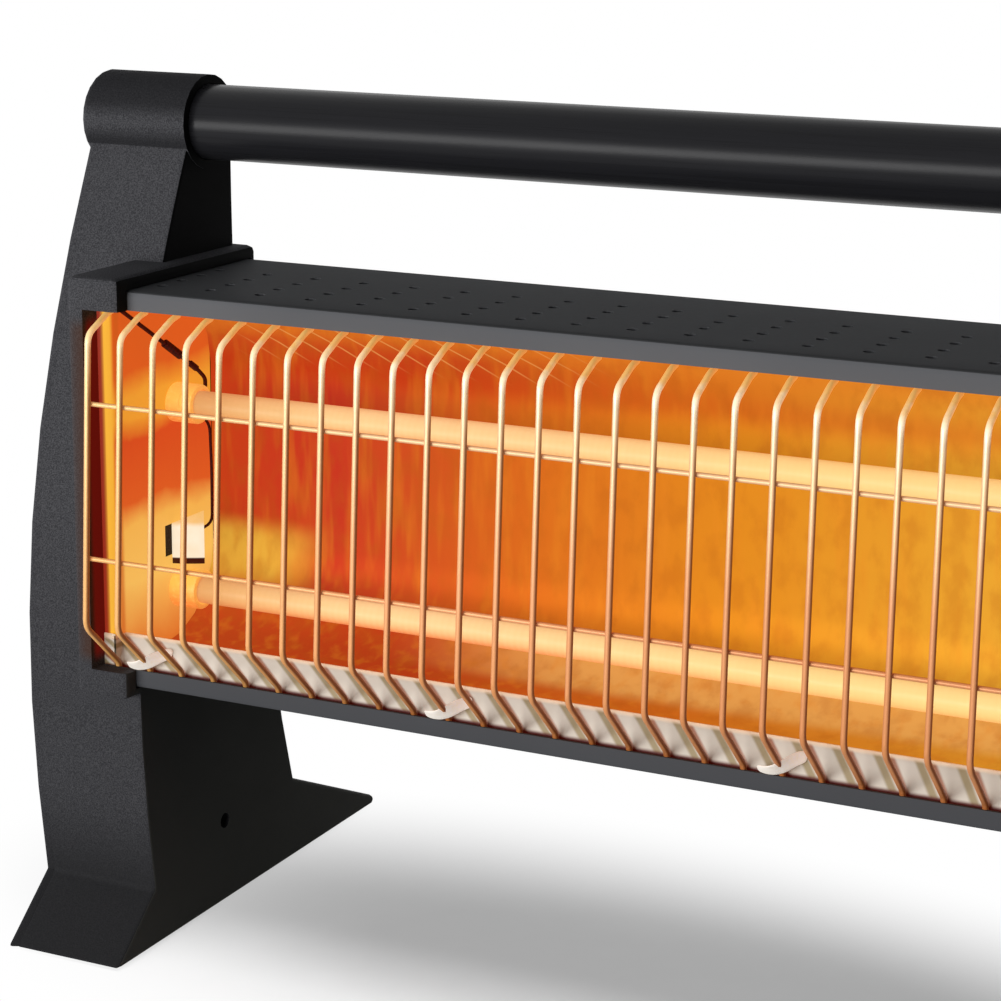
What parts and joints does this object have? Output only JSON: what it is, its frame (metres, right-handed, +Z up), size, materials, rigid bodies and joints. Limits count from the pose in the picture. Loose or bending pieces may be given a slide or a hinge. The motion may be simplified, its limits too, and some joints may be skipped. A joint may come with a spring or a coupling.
{
  "type": "radiant heater",
  "caption": "Portable quartz radiant heater: glowing tubes in a reflector trough behind a bowed wire guard, perforated housing, moulded end legs with feet and a round carry bar.",
  "frame": {"origin": "centre of the whole object's box on the floor plane", "axes": "+X along the tubes towards the selector knob, +Y from the guard to the back, +Z up"},
  "size_m": [0.4842, 0.1941, 0.3153],
  "materials": {
    "charcoal_plastic": "fine-textured charcoal moulding",
    "cover_plastic": "charcoal moulding, satin",
    "satin_black_bar": "satin black tube",
    "painted_steel": "dark grey baked enamel",
    "bright_reflector": "bright rolled sheet",
    "chromed_wire": "bright plated wire",
    "white_strap": "white coated strap",
    "glowing_quartz": "frosted quartz, lit from inside",
    "heating_coil": "glowing resistance wire",
    "ceramic": "unglazed ceramic",
    "dark_lead": "dark sleeved wire",
    "switch_body": "moulded switch body",
    "steel_shaft": "turned steel",
    "knob_plastic": "black moulded knob",
    "white_plastic": "white moulded plastic",
    "rubber": "soft black rubber"
  },
  "bodies": {
    "heater": {"left_leg": "charcoal_plastic", "right_leg": "charcoal_plastic", "left_side_cover": "cover_plastic", "right_side_cover": "cover_plastic", "handle_bar": "satin_black_bar", "housing_shell": "painted_steel", "reflector": "bright_reflector", "left_reflector_end": "bright_reflector", "right_reflector_end": "bright_reflector", "wire_guard": "chromed_wire", "guard_strap_1": "white_strap", "guard_strap_2": "white_strap", "guard_strap_3": "white_strap", "guard_strap_4": "white_strap", "upper_quartz_tube": "glowing_quartz", "lower_quartz_tube": "glowing_quartz", "upper_heating_coil": "heating_coil", "lower_heating_coil": "heating_coil", "left_upper_ceramic_cap": "ceramic", "left_lower_ceramic_cap": "ceramic", "right_upper_ceramic_cap": "ceramic", "right_lower_ceramic_cap": "ceramic", "left_feed_lead": "dark_lead", "right_feed_lead": "dark_lead", "left_jumper_lead": "dark_lead", "right_jumper_lead": "dark_lead", "selector_switch": "switch_body", "tip_switch": "switch_body", "terminal_block": "white_plastic", "left_front_foot_pad": "rubber", "left_back_foot_pad": "rubber", "right_front_foot_pad": "rubber", "right_back_foot_pad": "rubber", "cord_gland": "rubber"},
    "selector": {"selector_knob": "knob_plastic", "selector_shaft": "steel_shaft"},
    "tip_plunger": {"tip_plunger": "white_plastic"}
  },
  "joints": [
    {"name": "selector_turn", "type": "hinge", "parent": "heater", "child": "selector", "pos_m": [0.2266, -0.02696, 0.176], "axis": [1, 0, 0], "range_deg": [-120, 0]},
    {"name": "plunger_slide", "type": "slide", "parent": "heater", "child": "tip_plunger", "axis": [0, 0, -1], "range_m": [0, 0.005], "stiffness_N_per_m": 60, "springref_m": 0.008}
  ]
}
